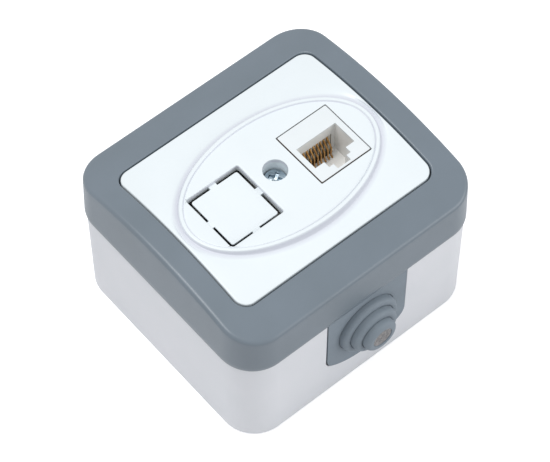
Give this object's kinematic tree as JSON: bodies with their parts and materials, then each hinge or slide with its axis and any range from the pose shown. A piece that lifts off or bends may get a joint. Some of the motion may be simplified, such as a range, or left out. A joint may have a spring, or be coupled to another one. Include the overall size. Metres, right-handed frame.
{
  "type": "ethernet wall socket",
  "caption": "Surface-mounted splashproof ethernet wall socket: grey-framed wall box, bowed white cover plate, one 8-way jack, one knock-out blank and a stepped cable grommet.",
  "frame": {"origin": "centre of the flat back of the box, on the wall face", "axes": "+Z out of the face, -Y towards the cable grommet, +X towards the jack"},
  "size_m": [0.0712, 0.0708, 0.0461],
  "materials": {
    "box_abs": "fine spark texture",
    "frame_abs": "fine matt grain",
    "grommet_rubber": "moulded, matt",
    "seal_rubber": "foam rubber",
    "cover_abs": "satin gloss",
    "zinc_steel": "zinc plated",
    "brass": "turned",
    "carrier_nylon": "moulded",
    "jack_abs": "satin gloss",
    "comb_nylon": "moulded",
    "board_laminate": "solder resist",
    "tinned_bronze": "tin plated",
    "gold_wire": "gold plated spring wire"
  },
  "bodies": {
    "root": {"mounting_box": "box_abs", "cable_grommet": "grommet_rubber", "box_seal": "seal_rubber", "frame": "frame_abs", "cover_plate": "cover_abs", "cover_screw": "zinc_steel", "threaded_insert": "brass", "carrier": "carrier_nylon", "carrier_screws": "zinc_steel", "jack_housing": "jack_abs", "contact_comb": "comb_nylon", "jack_board": "board_laminate", "terminal_block": "jack_abs", "terminal_blades": "tinned_bronze", "terminal_cap": "jack_abs", "contact_spring_1": "gold_wire", "contact_spring_2": "gold_wire", "contact_spring_3": "gold_wire", "contact_spring_4": "gold_wire", "contact_spring_5": "gold_wire", "contact_spring_6": "gold_wire", "contact_spring_7": "gold_wire", "contact_spring_8": "gold_wire"}
  },
  "joints": []
}
